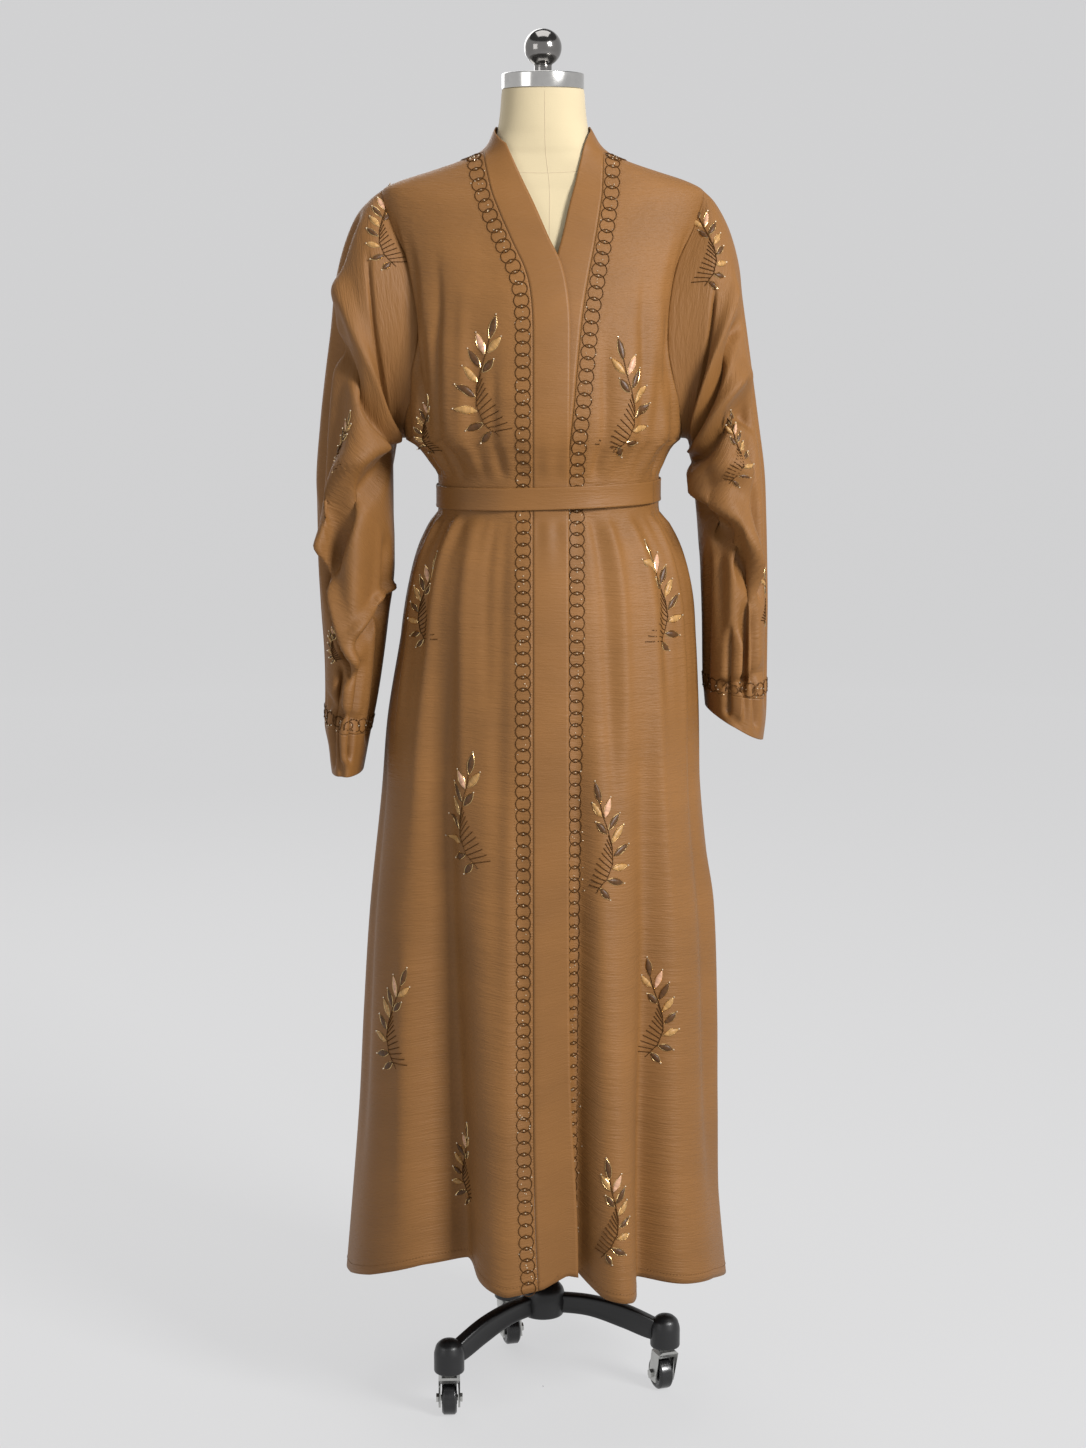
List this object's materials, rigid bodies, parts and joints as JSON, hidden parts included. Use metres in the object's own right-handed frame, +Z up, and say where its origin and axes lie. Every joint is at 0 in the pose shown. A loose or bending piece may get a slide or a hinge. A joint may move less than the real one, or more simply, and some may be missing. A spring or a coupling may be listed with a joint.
{
  "type": "abaya cloak on limbless dress form with caster stand",
  "caption": "Long open-front belted abaya with leaf-spray embroidery, worn on a limbless dress form with a cap and ball, on a pole and caster stand.",
  "frame": {"origin": "on the floor, at the middle of the part's footprint, below the form's axis", "axes": "+Z up; the front of the garment faces -Y; the wearer's left side lies at +X"},
  "size_m": [0.5695, 0.4434, 1.75],
  "materials": {
    "abaya_cloth": "satin crepe",
    "band_cloth": "smooth satin",
    "belt_cloth": "smooth satin",
    "form_cloth": "plain weave, matt",
    "polished_steel": "polished",
    "dark_polished_steel": "polished, dark",
    "pole_steel": "drawn tube",
    "black_satin_paint": "satin",
    "zinc_plate": "zinc plated",
    "black_wheel_plastic": "gloss"
  },
  "bodies": {
    "stand": {"back_panel": "abaya_cloth", "front_panel_right": "abaya_cloth", "front_panel_left": "abaya_cloth", "neck_band_right": "band_cloth", "neck_band_left": "band_cloth", "sleeve_right": "abaya_cloth", "sleeve_left": "abaya_cloth", "cuff_band_right": "band_cloth", "cuff_band_left": "band_cloth", "belt": "belt_cloth", "form_torso": "form_cloth", "neck_cap": "polished_steel", "cap_knob": "dark_polished_steel", "pole": "pole_steel", "base": "black_satin_paint"},
    "swivel_1": {"caster_fork_1": "zinc_plate"},
    "swivel_2": {"caster_fork_2": "zinc_plate"},
    "swivel_3": {"caster_fork_3": "zinc_plate"},
    "roller_1": {"caster_wheel_1": "black_wheel_plastic"},
    "roller_2": {"caster_wheel_2": "black_wheel_plastic"},
    "roller_3": {"caster_wheel_3": "black_wheel_plastic"}
  },
  "joints": [
    {"name": "caster_swivel_1", "type": "hinge", "parent": "stand", "child": "swivel_1", "pos_m": [-0.12039, -0.1004, 0.062], "axis": [0, 0, 1], "continuous": true},
    {"name": "caster_swivel_2", "type": "hinge", "parent": "stand", "child": "swivel_2", "pos_m": [0.16042, -0.01455, 0.062], "axis": [0, 0, 1], "continuous": true},
    {"name": "caster_swivel_3", "type": "hinge", "parent": "stand", "child": "swivel_3", "pos_m": [-0.04736, 0.16292, 0.062], "axis": [0, 0, 1], "continuous": true},
    {"name": "wheel_roll_1", "type": "hinge", "parent": "swivel_1", "child": "roller_1", "pos_m": [-0.12081, -0.08841, 0.0215], "axis": [0.9994, 0.0349, 0], "continuous": true},
    {"name": "wheel_roll_2", "type": "hinge", "parent": "swivel_2", "child": "roller_2", "pos_m": [0.15593, -0.00342, 0.0215], "axis": [0.9272, 0.3746, 0], "continuous": true},
    {"name": "wheel_roll_3", "type": "hinge", "parent": "swivel_3", "child": "roller_3", "pos_m": [-0.04426, 0.15133, 0.0215], "axis": [-0.9659, -0.2588, 0], "continuous": true}
  ]
}
